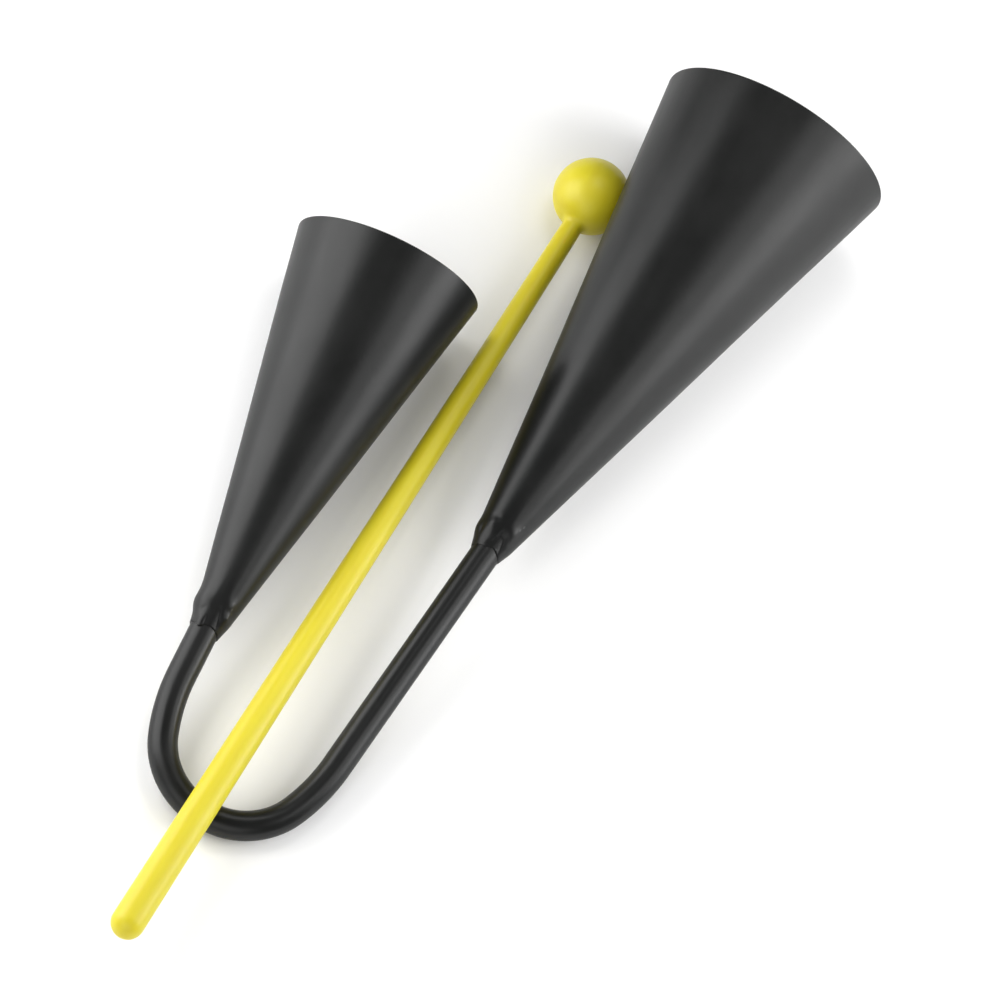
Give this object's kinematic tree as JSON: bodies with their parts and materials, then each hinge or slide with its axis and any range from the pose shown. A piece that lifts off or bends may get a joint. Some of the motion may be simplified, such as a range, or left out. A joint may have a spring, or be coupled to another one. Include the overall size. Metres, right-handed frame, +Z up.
{
  "type": "agogo bells",
  "caption": "Agogo bells: two open sheet-steel cones crimped on one bent tube handle, lying flat, with a one-piece ball-headed beater.",
  "frame": {"origin": "middle of the bounding box at table level, with the set lying as pictured", "axes": "+Z up from the table, +Y along the handle from its bend towards the bell mouths, +X towards the large bell"},
  "size_m": [0.1904, 0.431, 0.0947],
  "materials": {
    "black_paint": "satin powder coat over steel",
    "yellow_plastic": "smooth moulded plastic, soft sheen"
  },
  "bodies": {
    "instrument": {"large_bell": "black_paint", "small_bell": "black_paint", "handle": "black_paint", "large_neck_welds": "black_paint", "small_neck_welds": "black_paint", "large_bell_seam": "black_paint", "small_bell_seam": "black_paint"},
    "beater": {"beater": "yellow_plastic"}
  },
  "joints": [
    {"name": "beater_pull_out", "type": "slide", "parent": "instrument", "child": "beater", "axis": [0.0174, -0.9974, 0.0698], "range_m": [0, 0.36]}
  ]
}
